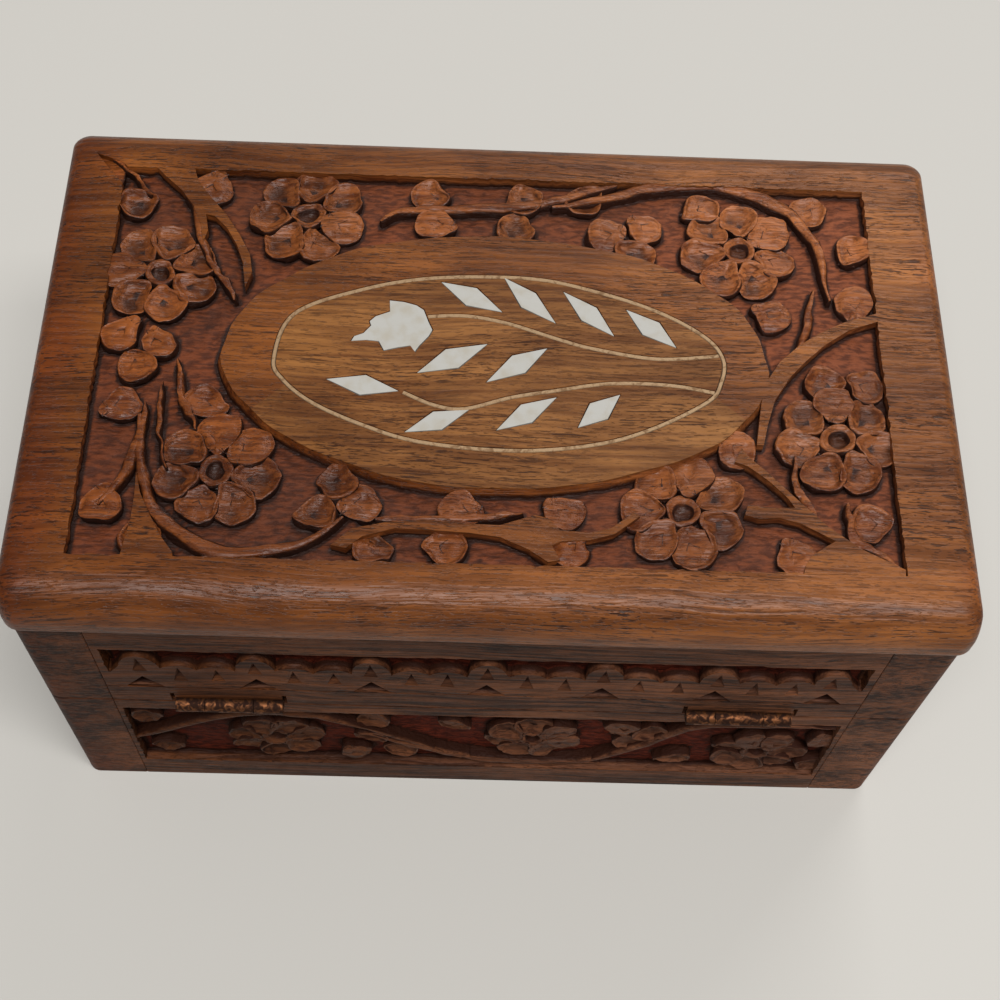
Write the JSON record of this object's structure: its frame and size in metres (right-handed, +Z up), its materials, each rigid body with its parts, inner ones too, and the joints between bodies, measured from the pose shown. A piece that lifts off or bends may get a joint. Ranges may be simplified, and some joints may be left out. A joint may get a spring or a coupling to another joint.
{
  "type": "jewellery box",
  "caption": "Rectangular wooden box with a deep hinged lid, carved flower panels and an inlaid oval on its lid",
  "frame": {"origin": "middle of the underside", "axes": "+X along the length, +Y towards the hinge side, +Z up"},
  "size_m": [0.2024, 0.127, 0.107],
  "materials": {
    "lid_wood": "waxed rosewood, carved",
    "base_wood": "waxed rosewood, carved",
    "plain_wood": "plain sanded board",
    "bone": "polished bone, cool white",
    "inlay_wire": "dull brass wire",
    "hinge_brass": "aged brass",
    "velvet": "dark red velvet"
  },
  "bodies": {
    "base": {"base_back_wall": "base_wood", "base_front_wall": "base_wood", "base_left_wall": "base_wood", "base_right_wall": "base_wood", "base_bottom_board": "plain_wood", "left_hinge_base_leaf": "hinge_brass", "left_hinge_pin": "hinge_brass", "right_hinge_base_leaf": "hinge_brass", "right_hinge_pin": "hinge_brass", "base_hinge_screws": "hinge_brass", "base_lining_floor": "velvet", "base_lining_left": "velvet", "base_lining_right": "velvet", "base_lining_front": "velvet", "base_lining_back": "velvet"},
    "lid": {"lid_top_panel": "lid_wood", "lid_back_rail": "lid_wood", "lid_front_rail": "lid_wood", "lid_left_rail": "lid_wood", "lid_right_rail": "lid_wood", "bone_tulip": "bone", "bone_leaf_1": "bone", "bone_leaf_2": "bone", "bone_leaf_3": "bone", "bone_leaf_4": "bone", "bone_leaf_5": "bone", "bone_leaf_6": "bone", "bone_leaf_7": "bone", "bone_leaf_8": "bone", "bone_leaf_9": "bone", "bone_leaf_10": "bone", "brass_ring": "inlay_wire", "brass_upper_stem": "inlay_wire", "brass_lower_stem": "inlay_wire", "left_hinge_lid_leaf": "hinge_brass", "right_hinge_lid_leaf": "hinge_brass", "lid_hinge_screws": "hinge_brass", "lid_lining_top": "velvet", "lid_lining_left": "velvet", "lid_lining_right": "velvet", "lid_lining_front": "velvet", "lid_lining_back": "velvet"}
  },
  "joints": [
    {"name": "lid_hinge", "type": "hinge", "parent": "base", "child": "lid", "pos_m": [0, 0.0617, 0.0515], "axis": [-1, 0, 0], "range_deg": [0, 110]}
  ]
}
